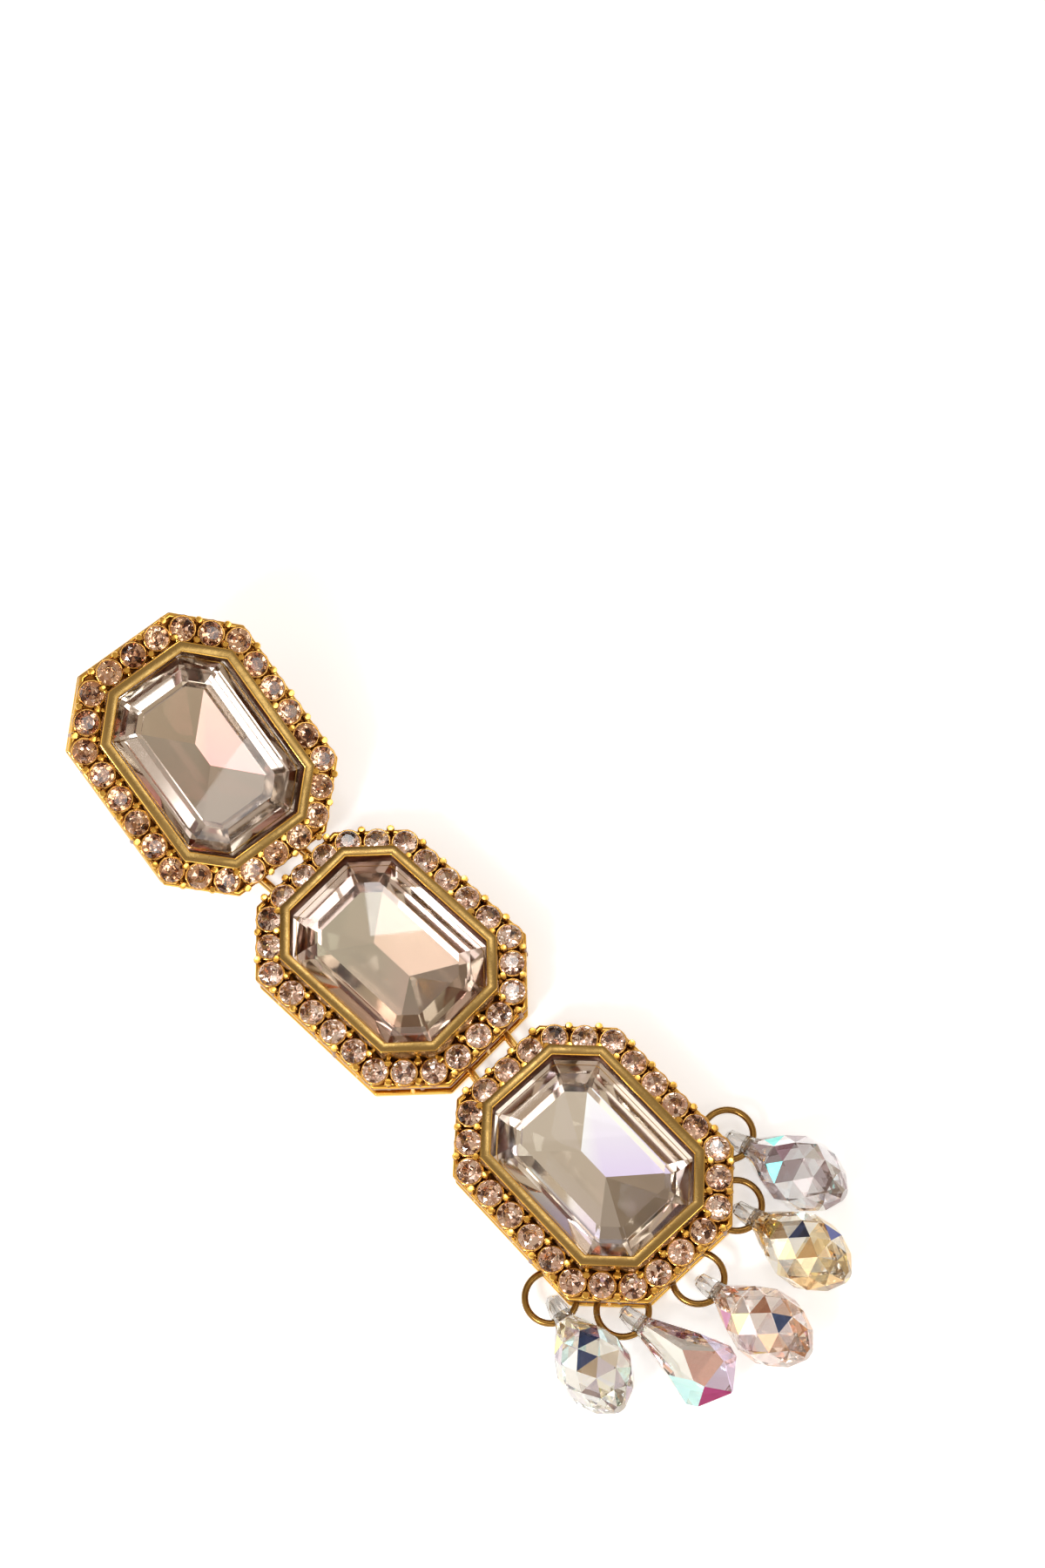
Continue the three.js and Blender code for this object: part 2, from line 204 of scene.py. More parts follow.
def halo_place(index):
    """Matrix at one stone (or half-way, at one gap) of the halo: +X along it and +Y outwards."""
    total = sum((b - a).length for a, b, _ in octagon_sides(HALO_OFFSET))
    point, along = walk_octagon(HALO_OFFSET, index * total / HALO_COUNT)
    outward = Vector((-along.y, along.x))
    return Matrix((
        (along.x, outward.x, 0, point.x),
        (along.y, outward.y, 0, point.y),
        (0, 0, 1, 0),
        (0, 0, 0, 1)))


def only(kind, geom):
    """The items of one kind among those that an operator made."""
    return [item for item in geom if isinstance(item, kind)]


def sweep_octagon(bm, profile):
    """Closed wall round the octagon, from a closed profile of (outset, height) pairs."""
    first = [bm.verts.new((*corner, profile[0][1])) for corner in octagon(profile[0][0])]
    ring = [bm.edges.new(pair) for pair in zip(first, first[1:] + first[:1])]
    start = list(ring)
    for outset, height in profile[1:]:
        before = [vert.co.copy() for vert in sorted(ring_verts(ring), key=bearing)]
        ring = only(BMEdge, bmesh.ops.extrude_edge_only(bm, edges=ring)["geom"])
        corners = octagon(outset)
        for vert in ring_verts(ring):
            nearest = min(range(8), key=lambda i: (before[i] - vert.co).length)
            vert.co = (*corners[nearest], height)
    bmesh.ops.bridge_loops(bm, edges=start + ring)


def ring_verts(ring):
    """Corners of a ring of edges."""
    return {vert for edge in ring for vert in edge.verts}


def octagon_band(bm, outer, inner, bottom, top):
    """Flat-sided ring round the octagon, between two outsets and two heights."""
    sweep_octagon(bm, [(outer, bottom), (outer, top), (inner, top), (inner, bottom)])


def octagon_plate(bm, outset, height, thickness):
    """Closed octagonal plate, drawn up from one face."""
    ring = bmesh.ops.create_circle(bm, cap_ends=True, segments=8, radius=1)["verts"]
    for vert, corner in zip(sorted(ring, key=bearing), octagon(outset)):
        vert.co = (*corner, height)
    base = ring[0].link_faces[0]
    raised = bmesh.ops.extrude_face_region(bm, geom=[base], use_keep_orig=True)["geom"]
    bmesh.ops.translate(bm, vec=(0, 0, thickness), verts=only(BMVert, raised))


# ---------------------------------------------------------------- meshes
def soften_edges(bm, width):
    """Rounds the sharp edges, as buffing does."""
    bmesh.ops.recalc_face_normals(bm, faces=bm.faces)
    sharp = [edge for edge in bm.edges
             if edge.is_manifold and edge.calc_face_angle() > math.radians(ROUND_ABOVE)]
    bmesh.ops.bevel(bm, geom=sharp, offset=width, offset_type="OFFSET", segments=ROUND_SEGMENTS,
                    profile=0.5, affect="EDGES", clamp_overlap=True, material=-1)


def stamp(bm, pattern, matrix):
    """Adds a copy of a pattern mesh at a place."""
    copy = pattern.copy()
    copy.transform(matrix)
    bm.from_mesh(copy)
    bpy.data.meshes.remove(copy)


def pattern_mesh(bm):
    """Turns a bmesh into a mesh whose faces point outwards."""
    bmesh.ops.recalc_face_normals(bm, faces=bm.faces)
    mesh = bpy.data.meshes.new("pattern")
    bm.to_mesh(mesh)
    bm.free()
    return mesh


def spun(profile, segments, closed=False):
    """Pattern turned about Z from (radius, height) pairs, which end on Z if they don't close."""
    bm = bmesh.new()
    verts = [bm.verts.new((radius, 0, height)) for radius, height in profile]
    nexts = verts[1:] + verts[:1] if closed else verts[1:]
    edges = [bm.edges.new(pair) for pair in zip(verts, nexts)]
    bmesh.ops.spin(bm, geom=verts + edges, cent=(0, 0, 0), axis=(0, 0, 1), angle=2 * math.pi,
                   steps=segments, use_merge=True)
    bmesh.ops.remove_doubles(bm, verts=bm.verts, dist=MERGE)
    return pattern_mesh(bm)


def random_tilt(rng, most):
    """Small random tilt, as a hand that sets stones leaves it."""
    return (Matrix.Rotation(rng.uniform(-most, most), 4, "X")
            @ Matrix.Rotation(rng.uniform(-most, most), 4, "Y"))


def finish_faces(bm, materials, finish_of):
    """Gives each face the slot of the material that finish_of returns for it."""
    for face in bm.faces:
        face.material_index = materials.index(finish_of(face))


def make_piece(name, bm, matrix, materials, sharp_above=None):
    """Turns a bmesh in a piece's own millimetres into an object that rides on the earring."""
    bmesh.ops.transform(bm, matrix=matrix @ Matrix.Scale(MM, 4), verts=bm.verts)
    bmesh.ops.recalc_face_normals(bm, faces=bm.faces)
    mesh = bpy.data.meshes.new(name)
    bm.to_mesh(mesh)
    bm.free()
    if sharp_above is not None:
        mesh.shade_smooth()
        mesh.set_sharp_from_angle(angle=math.radians(sharp_above))
    piece = bpy.data.objects.new(name, mesh)
    bpy.context.scene.collection.objects.link(piece)
    for material in materials:
        mesh.materials.append(material)
    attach(piece, ROOT)
    return piece


# ---------------------------------------------------------------- places read from the frame
def distinct(points):
    """Points without the copies that a mesh of loose triangles holds."""
    return np.unique(np.round(np.array(points), 7), axis=0)


def corner_points(node):
    """Corners of a CAD node."""
    return distinct([vert.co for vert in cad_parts[node].data.vertices])


def long_axis(points):
    """Middle and long direction of a set of points."""
    middle = points.mean(axis=0)
    _, axes = np.linalg.eigh(np.cov((points - middle).T))
    return Vector(middle), Vector(axes[:, 2])


def setting_place(name):
    """Matrix from a setting's own millimetres, read from the table facet of its crystal."""
    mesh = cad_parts[f"crystal_{name}"].data
    groups = {}
    for face in mesh.polygons:
        groups.setdefault(tuple(round(c, 2) for c in face.normal), []).append(face)
    table = max(groups.values(), key=lambda faces: sum(face.area for face in faces))
    corners = [mesh.vertices[i].co for face in table for i in face.vertices]
    middle, along = long_axis(distinct(corners))
    if along.y < 0:
        along.negate()
    up = table[0].normal.copy()
    right = along.cross(up).normalized()
    turn = Matrix((right, along, up)).transposed().to_4x4()
    return Matrix.Translation(middle - up * TABLE_HEIGHT * MM) @ turn


def drop_place(node, sides):
    """Matrix at a drop's bore, with +X along the drop, and the drop's length in millimetres."""
    points = corner_points(node)
    middle, axis = long_axis(points)
    order = np.argsort((points - np.array(middle)) @ np.array(axis))
    ends = [Vector(points[end].mean(axis=0)) for end in (order[:sides], order[-sides:])]
    ring = Vector(corner_points(node.replace("drop", "jump_ring")).mean(axis=0))
    head, tail = sorted(ends, key=lambda end: (end - ring).length)
    along = (tail - head).normalized()
    side = Vector((0, 0, 1)).cross(along).normalized()
    turn = Matrix((along, side, along.cross(side))).transposed().to_4x4()
    length = (tail - head).length
    return Matrix.Translation(head + along * length * BORE_SHARE) @ turn, length / MM


# ---------------------------------------------------------------- materials
# Colour sockets of a Mix node: its two inputs and its output
MIX_A, MIX_B, MIX_COLOUR = 6, 7, 2
# Size of the soft patches of haze on glass and of unevenness in foil
HAZE_MM = 2.5
FOIL_PATCH_MM = 2
# Casting grain that shows through the plate: its depth, and how many grains make a patch
GRAIN_DEPTH_MM = 0.03
PATCH_GRAINS = 4


def linear(code, alpha=1):
    """Linear colour of an sRGB hex value such as E0B060."""
    parts = [int(code[i:i + 2], 16) / 255 for i in (0, 2, 4)]
    return (*[c / 12.92 if c <= 0.04045 else ((c + 0.055) / 1.055) ** 2.4 for c in parts], alpha)


def add_node(tree, kind, inputs=(), **settings):
    """Adds a node with its settings, and sets or links each of the (socket, value) inputs."""
    node = tree.nodes.new(kind)
    for key, value in settings.items():
        if not hasattr(node, key):
            raise KeyError(key)
        setattr(node, key, value)
    for socket, value in inputs:
        if isinstance(value, bpy.types.NodeSocket):
            tree.links.new(value, node.inputs[socket])
        else:
            node.inputs[socket].default_value = value
    return node


def new_material(name):
    """Material with a bare Principled shader."""
    material = bpy.data.materials.new(name)
    material.use_nodes = True
    tree = material.node_tree
    tree.nodes.clear()
    shader = add_node(tree, "ShaderNodeBsdfPrincipled")
    add_node(tree, "ShaderNodeOutputMaterial", [("Surface", shader.outputs["BSDF"])])
    return material, tree, shader


def plated_gold(name, colour, dark, roughness, grain_mm):
    """Gold plate on cast metal.

    Casting and tumbling leave it softly uneven, in colour and in gloss, so highlights break up.
    """
    material, tree, shader = new_material(name)
    place = add_node(tree, "ShaderNodeTexCoord").outputs["Object"]
    patches = add_node(tree, "ShaderNodeTexNoise", [
        ("Vector", place), ("Scale", 1 / (grain_mm * PATCH_GRAINS * MM)), ("Detail", 3.0)])
    tint = add_node(tree, "ShaderNodeMix", [
        ("Factor", patches.outputs["Fac"]), (MIX_A, linear(colour)), (MIX_B, linear(dark))],
        data_type="RGBA")
    rough = add_node(tree, "ShaderNodeMapRange", [
        ("Value", patches.outputs["Fac"]),
        ("To Min", roughness * 0.6), ("To Max", roughness * 1.6)])
    grain = add_node(tree, "ShaderNodeTexNoise", [
        ("Vector", place), ("Scale", 1 / (grain_mm * MM)), ("Detail", 2.0)])
    bump = add_node(tree, "ShaderNodeBump", [
        ("Strength", 0.25), ("Distance", GRAIN_DEPTH_MM * MM), ("Height", grain.outputs["Fac"])])
    for socket, value in (("Base Color", tint.outputs[MIX_COLOUR]),
                          ("Roughness", rough.outputs["Result"]),
                          ("Normal", bump.outputs["Normal"])):
        tree.links.new(value, shader.inputs[socket])
    shader.inputs["Metallic"].default_value = 1
    return material


def crown_glass(name, colour):
    """Cut and polished crystal: clear, with a faint body colour, and bright at a low angle."""
    material, tree, shader = new_material(name)
    place = add_node(tree, "ShaderNodeTexCoord").outputs["Object"]
    haze = add_node(tree, "ShaderNodeTexNoise", [
        ("Vector", place), ("Scale", 1 / (HAZE_MM * MM))])
    rough = add_node(tree, "ShaderNodeMapRange", [
        ("Value", haze.outputs["Fac"]), ("To Min", 0.0), ("To Max", 0.03)])
    tree.links.new(rough.outputs["Result"], shader.inputs["Roughness"])
    shader.inputs["Base Color"].default_value = linear(colour)
    shader.inputs["IOR"].default_value = 1.56
    shader.inputs["Transmission Weight"].default_value = 1
    return material


def foil(name, roughness):
    """Silvered foil baked on the pavilion, a little uneven, with painted reflection tones facet
    by facet.
    """
    material, tree, shader = new_material(name)
    place = add_node(tree, "ShaderNodeTexCoord").outputs["Object"]
    tint = add_node(tree, "ShaderNodeAttribute", attribute_name="facet_tint_and_painted_reflection")
    patches = add_node(tree, "ShaderNodeTexNoise", [
        ("Vector", place), ("Scale", 1 / (FOIL_PATCH_MM * MM)), ("Detail", 2.0)])
    rough = add_node(tree, "ShaderNodeMapRange", [
        ("Value", patches.outputs["Fac"]),
        ("To Min", roughness * 0.7), ("To Max", roughness * 1.5)])
    tree.links.new(tint.outputs["Color"], shader.inputs["Base Color"])
    tree.links.new(rough.outputs["Result"], shader.inputs["Roughness"])
    shader.inputs["Metallic"].default_value = 1
    return material


def rainbow_crystal(name):
    """Clear crystal under a vapour-coated film, with film colour and painted flashes of aqua,
    peach, pink and navy.

    The tint's alpha is the share of light that the film throws back before it enters the drop.
    """
    material, tree, shader = new_material(name)
    tint = add_node(tree, "ShaderNodeAttribute", attribute_name="facet_tint_and_painted_reflection")
    tree.links.new(tint.outputs["Color"], shader.inputs["Base Color"])
    tree.links.new(tint.outputs["Alpha"], shader.inputs["Metallic"])
    shader.inputs["IOR"].default_value = 1.7
    shader.inputs["Roughness"].default_value = 0.03
    shader.inputs["Transmission Weight"].default_value = 1
    return material


# Buffed after plating: bead tips, rail and rounded rim edges throw small, clear highlights
gold = plated_gold("polished_gold_plate", "FBD270", "E6AA42", 0.12, 0.5)
# Brushed when the rim is folded over, which gives the flat of the rim a wide, soft sheen; its dim
# olive colour is painted reflection, a shaded copy of the bright gold
satin_gold_painted_dim = plated_gold("satin_gold_plate", "B4985E", "967844", 0.24, 0.3)
# Painted shade: the lip's wall faces the crystal and lies in its own shade, shown as a dark brown
# line round the stone
shadowed_gold = plated_gold("shadowed_gold_plate", "743E24", "4E2616", 0.3, 0.5)
# Collet edges, bright where they catch light between the stones
recessed_gold = plated_gold("recessed_gold_plate", "F8CE7C", "D09440", 0.14, 0.35)
# Drawn through a die and plated: smooth, with long highlights
wire_gold = plated_gold("drawn_gold_wire", "F4D080", "E2B45C", 0.18, 0.8)
# Plated wire toned dark: a dull brass ring with a soft highlight
dark_gold = plated_gold("antiqued_gold_wire", "AA8244", "7C5C2C", 0.24, 0.6)
# Nearly colourless glass of the large crystals
clear_glass = crown_glass("polished_crystal", "FCFAF8")
# Painted shade: a deep orange-brown that stands for the shade between the stones, under the beads
# and bars, and on the lower walls of the cup and the band
painted_shade_gold = plated_gold("painted_shade_gold_plate", "A86C2C", "744618", 0.25, 0.4)
# Glass of the small stones, with a blush
halo_glass = crown_glass("polished_champagne_crystal", "FBF2EE")
# Mirror behind each kind of stone, which gives back the lamps from below; its facets carry
# painted reflection tones
crystal_foil = foil("silver_foil", 0.05)
halo_foil = foil("champagne_foil", 0.05)
# Coated glass of the drops
rainbow = rainbow_crystal("rainbow_coated_crystal")


def tint_facets(bm, colour_of):
    """Writes each facet's two colours, which blend from its end towards +Y to its other end."""
    layer = bm.loops.layers.float_color.new("facet_tint_and_painted_reflection")
    for face in bm.faces:
        upper, lower = colour_of(face)
        middle = face.calc_center_median()
        for loop in face.loops:
            loop[layer] = upper if loop.vert.co.y > middle.y else lower


# ---------------------------------------------------------------- setting
# Profiles of (radius, height): a collet's section, and a stub of unit length
COLLET_PROFILE = ((0.82, -0.9), (1.27, -0.9), (1.3, -0.25), (1.27, -0.1), (1.2, -0.06),
                  (1.1, -0.08), (0.98, -0.2), (0.82, -0.45))
STUB_PROFILE = ((0, -0.5), (0.3, -0.5), (0.24, -0.25), (0.22, 0), (0.24, 0.25), (0.3, 0.5),
                (0, 0.5))
# Burnished end of a prong, in bead radii from the bead's middle
BEAD_PROFILE = ((0.62, -0.9), (0.82, -0.5), (1, -0.1), (0.92, 0.42), (0.66, 0.76), (0, 0.8))
SHANK_SHARE = 0.7


def make_bezel(name, place):
    """Cup with a flat rim that is folded over the crystal's girdle, and a closed back."""
    bm = bmesh.new()
    lip_bottom = RIM_HEIGHT - LIP_DEPTH
    sweep_octagon(bm, [
        (RIM_OUTER, 0), (RIM_OUTER, SHADOW_LINE), (RIM_OUTER, RIM_HEIGHT),
        (-LIP_INSET, RIM_HEIGHT), (-LIP_FOOT_INSET, lip_bottom), (POCKET_OUTSET, lip_bottom),
        (POCKET_OUTSET, LEDGE_HEIGHT), (-LEDGE_INSET, LEDGE_HEIGHT), (-LEDGE_INSET, 0)])
    soften_edges(bm, RIM_ROUND)

    # Painted shade and dimming: walls facing the crystal get the dark brown, the outer wall below
    # the shadow line the orange-brown, and the flat rim and other faces the dimmed satin copy;
    # only the rounded rim edges keep the bright gold
    def finish(face):
        middle = face.calc_center_median()
        if abs(face.normal.z) < BEZEL_WALL:
            if face.normal.xy.dot(middle.xy) < 0:
                return shadowed_gold
            return painted_shade_gold if middle.z < SHADOW_LINE else satin_gold_painted_dim
        rounded_edge = middle.z > SHADOW_LINE and 0 < face.normal.z < BEZEL_FLAT
        return gold if rounded_edge else satin_gold_painted_dim

    materials = [satin_gold_painted_dim, shadowed_gold, painted_shade_gold, gold]
    finish_faces(bm, materials, finish)
    octagon_plate(bm, BACK_OVERLAP - LEDGE_INSET, 0, BACK_THICKNESS)
    return make_piece(f"bezel_{name}", bm, place, materials, SHARP_BEZEL)


def prong_pattern(height):
    """Prong whose end is burnished to a flat-topped bead."""
    shank = [(0, -height), (SHANK_SHARE * BEAD_RADIUS, -height)]
    bead = [(across * BEAD_RADIUS, up * BEAD_RADIUS) for across, up in BEAD_PROFILE]
    return spun(shank + bead, BEAD_SEGMENTS)


def bar_pattern():
    """Bar that joins an inner prong to the cup, with rounded edges."""
    bm = bmesh.new()
    bmesh.ops.create_cube(bm, size=1)
    bmesh.ops.scale(bm, vec=(BAR_THICKNESS, 1, BAR_THICKNESS), verts=bm.verts)
    soften_edges(bm, BAR_ROUND)
    return pattern_mesh(bm)


def make_halo(name, place):
    """Collets in a ring, with a pair of bead prongs between each two, and bars to the cup."""
    bm = bmesh.new()
    collets = bmesh.new()
    collet = spun(COLLET_PROFILE, COLLET_SEGMENTS, closed=True)
    inner, bar = prong_pattern(INNER_PRONG), bar_pattern()
    outer = prong_pattern(BEAD_TOP - BAND_BOTTOM)
    run = HALO_OFFSET - INNER_BEAD - RIM_OUTER
    bar_place = (Matrix.Translation((0, -INNER_BEAD - run / 2, BEAD_TOP - BAR_BELOW_BEAD))
                 @ Matrix.Rotation(BAR_LEAN, 4, "X")
                 @ Matrix.Diagonal((1, run + BAR_OVERLAP, 1, 1)))
    rng = random.Random(HALO_SEED)
    for i in range(HALO_COUNT):
        stamp(collets, collet, halo_place(i) @ Matrix.Translation((0, 0, COLLET_TOP)))
        gap = halo_place(i + 0.5)
        for pattern, across in ((inner, -INNER_BEAD), (outer, OUTER_BEAD)):
            wobble = Matrix.Translation((
                rng.uniform(-BEAD_DRIFT, BEAD_DRIFT),
                across + rng.uniform(-BEAD_SHIFT, BEAD_SHIFT),
                BEAD_TOP - BEAD_RADIUS + rng.uniform(-BEAD_SHIFT, BEAD_SHIFT)))
            stamp(bm, pattern, gap @ wobble @ random_tilt(rng, BEAD_TILT))
        stamp(bm, bar, gap @ bar_place)
    octagon_band(collets, BAND_OUTSET - BAND_WIDTH / 2, RIM_OUTER - PLATE_OVERLAP,
                 PLATE_BOTTOM, PLATE_TOP)

    # Painted shade: the collets' lower part and walls get the orange-brown, their top edges stay
    # bright
    def collet_finish(face):
        low = face.calc_center_median().z < COLLET_TOP - COLLET_EDGE
        return painted_shade_gold if low or abs(face.normal.z) < PLAIN_WALL else recessed_gold

    # Painted shade: bead tips and the tops of the bars stay bright, their flanks get the
    # orange-brown
    def prong_finish(face):
        return gold if face.normal.z > BEAD_FLANK else painted_shade_gold

    for piece, shape, materials, finish in (
            ("collets", collets, [recessed_gold, painted_shade_gold], collet_finish),
            ("halo", bm, [gold, painted_shade_gold], prong_finish)):
        finish_faces(shape, materials, finish)
        make_piece(f"{piece}_{name}", shape, place, materials, SHARP_CASTING)


def make_gallery(name, place):
    """Band under the halo, rail at the foot, and the stubs between them."""
    bm = bmesh.new()
    octagon_band(bm, BAND_OUTSET, BAND_OUTSET - BAND_WIDTH, BAND_BOTTOM, BAND_TOP)
    octagon_band(bm, RAIL_OUTSET, RAIL_OUTSET - RAIL_SIZE, RAIL_BOTTOM, RAIL_BOTTOM + RAIL_SIZE)
    soften_edges(bm, GALLERY_ROUND)
    bottom, top = RAIL_BOTTOM + RAIL_SIZE / 2, (BAND_BOTTOM + BAND_TOP) / 2
    stub = spun(STUB_PROFILE, STUB_SEGMENTS)
    for start, end, along in octagon_sides(RAIL_OUTSET - RAIL_SIZE / 2):
        is_long = (end - start).length > LONG_SIDE
        spreads = (-LONG_STUB_SPREAD, 0, LONG_STUB_SPREAD) if is_long else (0,)
        for spread in spreads:
            point = (start + end) / 2 + along * spread
            stamp(bm, stub, Matrix.Translation((*point, (top + bottom) / 2))
                  @ Matrix.Diagonal((1, 1, top - bottom, 1)))

    # Painted shade: the band's walls get the orange-brown; the rest stays bright gold
    def finish(face):
        on_band = BAND_BOTTOM < face.calc_center_median().z < BAND_TOP
        return painted_shade_gold if on_band and abs(face.normal.z) < PLAIN_WALL else gold

    materials = [gold, painted_shade_gold]
    finish_faces(bm, materials, finish)
    make_piece(f"gallery_{name}", bm, place, materials, SHARP_CASTING)


# ---------------------------------------------------------------- stones
# Painted reflections in each crystal's foil, at the +Y and at the -Y end of a facet. The steps
# share one pair, and each of the four sides that meet at the keel has its own.
CRYSTAL_PAINTED_REFLECTIONS = {
    "top": {"steps": ("F6F2EE", "F0ECE8"),
            "right": ("DCC2B6", "F2B4B2"), "left": ("D2CEC4", "C8BEB2"),
            "top": ("E4DAC8", "DCD2C0"), "bottom": ("DAD2C6", "D0C8BE")},
    "middle": {"steps": ("FDF8F4", "FBF2F0"),
               "right": ("DCC8B6", "E2CCBC"), "left": ("E9ECDF", "F4E6DF"),
               "top": ("E6E8DA", "E6E4D8"), "bottom": ("F4EAE0", "EADBCF")},
    "bottom": {"steps": ("FFFCF8", "FDF9F6"),
               "right": ("EAF6FF", "DAD8FF"), "left": ("FFFFF8", "FFFCF8"),
               "top": ("FFFFF8", "FFFFF6"), "bottom": ("FBF4EA", "F4ECE2")},
}


def make_crystal(name, place):
    """Step-cut octagon: a stepped crown of clear glass over a foiled pavilion with a keel."""
    bm = bmesh.new()
    octagon_plate(bm, 0, GIRDLE_BOTTOM, GIRDLE_TOP - GIRDLE_BOTTOM)
    bmesh.ops.recalc_face_normals(bm, faces=bm.faces)
    top = max(bm.faces, key=lambda face: face.calc_center_median().z)
    bottom = min(bm.faces, key=lambda face: face.calc_center_median().z)
    for width, rise in CROWN_STEPS[name]:
        step_cut(bm, top, width, rise)
    for width, fall in PAVILION_STEPS[name]:
        step_cut(bm, bottom, width, -fall)
    keel_top = bottom.calc_center_median().z
    step_cut(bm, bottom, KEEL_INSET, 0)
    for vert in bottom.verts:
        vert.co = (0, math.copysign(KEEL_LENGTHS[name] / 2, vert.co.y),
                   GIRDLE_BOTTOM - PAVILION_DEPTH)
    bmesh.ops.remove_doubles(bm, verts=bm.verts, dist=MERGE)
    bmesh.ops.recalc_face_normals(bm, faces=bm.faces)

    def finish(face):
        return clear_glass if face.calc_center_median().z > GIRDLE_TOP else crystal_foil

    materials = [clear_glass, crystal_foil]
    finish_faces(bm, materials, finish)
    # Painted reflections: each foil facet gets the tones of what it should mirror, by the way it
    # faces
    tones = CRYSTAL_PAINTED_REFLECTIONS[name]
    tint_facets(bm, lambda face: [linear(tone) for tone in tones[facet_side(face, keel_top)]])
    stone = make_piece(f"stone_{name}", bm, place, materials)
    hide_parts(f"crystal_{name}")


def step_cut(bm, face, width, rise):
    """Cuts one step round a face, and moves the face up or down."""
    bmesh.ops.inset_region(bm, faces=[face], thickness=width, depth=0, use_even_offset=True)
    bmesh.ops.translate(bm, vec=(0, 0, rise), verts=face.verts)


def facet_side(face, keel_top):
    """Which of a crystal's painted reflection tones a facet has."""
    if face.calc_center_median().z > keel_top:
        return "steps"
    x, y = face.normal.xy
    if abs(x) > abs(y):
        return "right" if x > 0 else "left"
    return "top" if y > 0 else "bottom"


# Rings of a small stone's corners: share of the radius, height, corners, turn in eighths
STONE_RINGS = ((0.56, STONE_CROWN, 8, 0), (0.84, 0.26, 8, 0.5), (1, 0.02, 16, 0.25),
               (1, -0.06, 16, 0.25), (0.52, -0.52, 8, 0.5))
# Foil tone of the small stones, a light or dark painted reflection, and how often it comes; the
# top setting's stones are yellower
HALO_PAINTED_REFLECTIONS = {
    "top": (("F2DECA", 6), ("EACEB6", 4), ("D2B298", 1.5), ("66402C", 2.8), ("F8EADA", 4)),
    "middle": (("FFF6F0", 6), ("FDEDE4", 4), ("ECD6CA", 1.5), ("7C5A48", 2.4), ("FFFDFA", 4)),
    "bottom": (("FFF2E8", 6), ("FAE6DA", 4), ("E8D0C2", 1.5), ("74523E", 2.4), ("FFFAF4", 4)),
}


def brilliant_pattern():
    """Round brilliant with a table, stars and kites above and a pointed pavilion below."""
    bm = bmesh.new()
    for share, height, count, eighths in STONE_RINGS:
        verts = bmesh.ops.create_circle(bm, segments=count, radius=share * STONE_RADIUS)["verts"]
        bmesh.ops.transform(bm, verts=verts, matrix=Matrix.Translation((0, 0, height))
                            @ Matrix.Rotation(eighths * 2 * math.pi / 8, 4, "Z"))
    bm.verts.new((0, 0, STONE_TIP))
    bmesh.ops.convex_hull(bm, input=bm.verts[:])
    bmesh.ops.dissolve_limit(bm, angle_limit=math.radians(SAME_STONE_FACET),
                             verts=bm.verts[:], edges=bm.edges[:])
    for face in bm.faces:
        face.material_index = 1 if face.normal.z < FOIL_SIDE else 0
    return pattern_mesh(bm)


def make_halo_stones(name, place):
    """Small brilliants, each turned and tilted a little in its collet."""
    bm = bmesh.new()
    brilliant = brilliant_pattern()
    rng = random.Random(len(name))
    for i in range(HALO_COUNT):
        tilt = random_tilt(rng, STONE_TILT)
        seat = halo_place(i) @ Matrix.Translation((0, 0, COLLET_TOP - STONE_SINK))
        stamp(bm, brilliant, seat @ tilt @ Matrix.Rotation(rng.uniform(0, math.pi / 4), 4, "Z"))
    # Painted reflections: each small stone's foil facet gets a light or dark tone at random
    tones, weights = zip(*HALO_PAINTED_REFLECTIONS[name])
    tint_facets(bm, lambda face: [linear(rng.choices(tones, weights)[0])] * 2)
    make_piece(f"halo_stones_{name}", bm, place, [halo_glass, halo_foil])


# ---------------------------------------------------------------- wire
def wire_section(bm, capped=False):
    """Round section of the wire, standing across +Y."""
    bmesh.ops.create_circle(bm, cap_ends=capped, segments=WIRE_SIDES, radius=WIRE_RADIUS)
    bmesh.ops.rotate(bm, verts=bm.verts, cent=(0, 0, 0),
                     matrix=Matrix.Rotation(math.pi / 2, 3, "X"))


def make_link(node):
    """Wire link: two half circles joined by straight runs, swept from one section."""
    points = corner_points(node)
    middle, along = long_axis(points)
    along.z = 0
    along.normalize()
    run = (points - np.array(middle)) @ np.array(along)
    half = np.ptp(run) / MM / 2 - LINK_BEND - WIRE_RADIUS
    bm = bmesh.new()
    wire_section(bm)
    bmesh.ops.rotate(bm, verts=bm.verts, cent=(0, 0, 0),
                     matrix=Matrix.Rotation(math.pi / 2, 3, "Z"))
    bmesh.ops.translate(bm, vec=(half, 0, LINK_BEND), verts=bm.verts)
    geom = bm.verts[:] + bm.edges[:]
    for side in (1, -1):
        bend = bmesh.ops.spin(bm, geom=geom, cent=(side * half, 0, 0), axis=(0, 1, 0),
                              angle=math.pi, steps=BEND_STEPS, use_merge=False)["geom_last"]
        straight = bmesh.ops.extrude_edge_only(bm, edges=only(BMEdge, bend))["geom"]
        verts = only(BMVert, straight)
        bmesh.ops.translate(bm, vec=(-side * 2 * half, 0, 0), verts=verts)
        geom = verts + only(BMEdge, straight)
    bmesh.ops.remove_doubles(bm, verts=bm.verts, dist=LINK_MERGE)
    turn = Matrix.Rotation(math.atan2(along.y, along.x), 4, "Z")
    link = make_piece(f"wire_{node}", bm, Matrix.Translation(middle) @ turn, [wire_gold],
                      SHARP_WIRE)
    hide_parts(node)


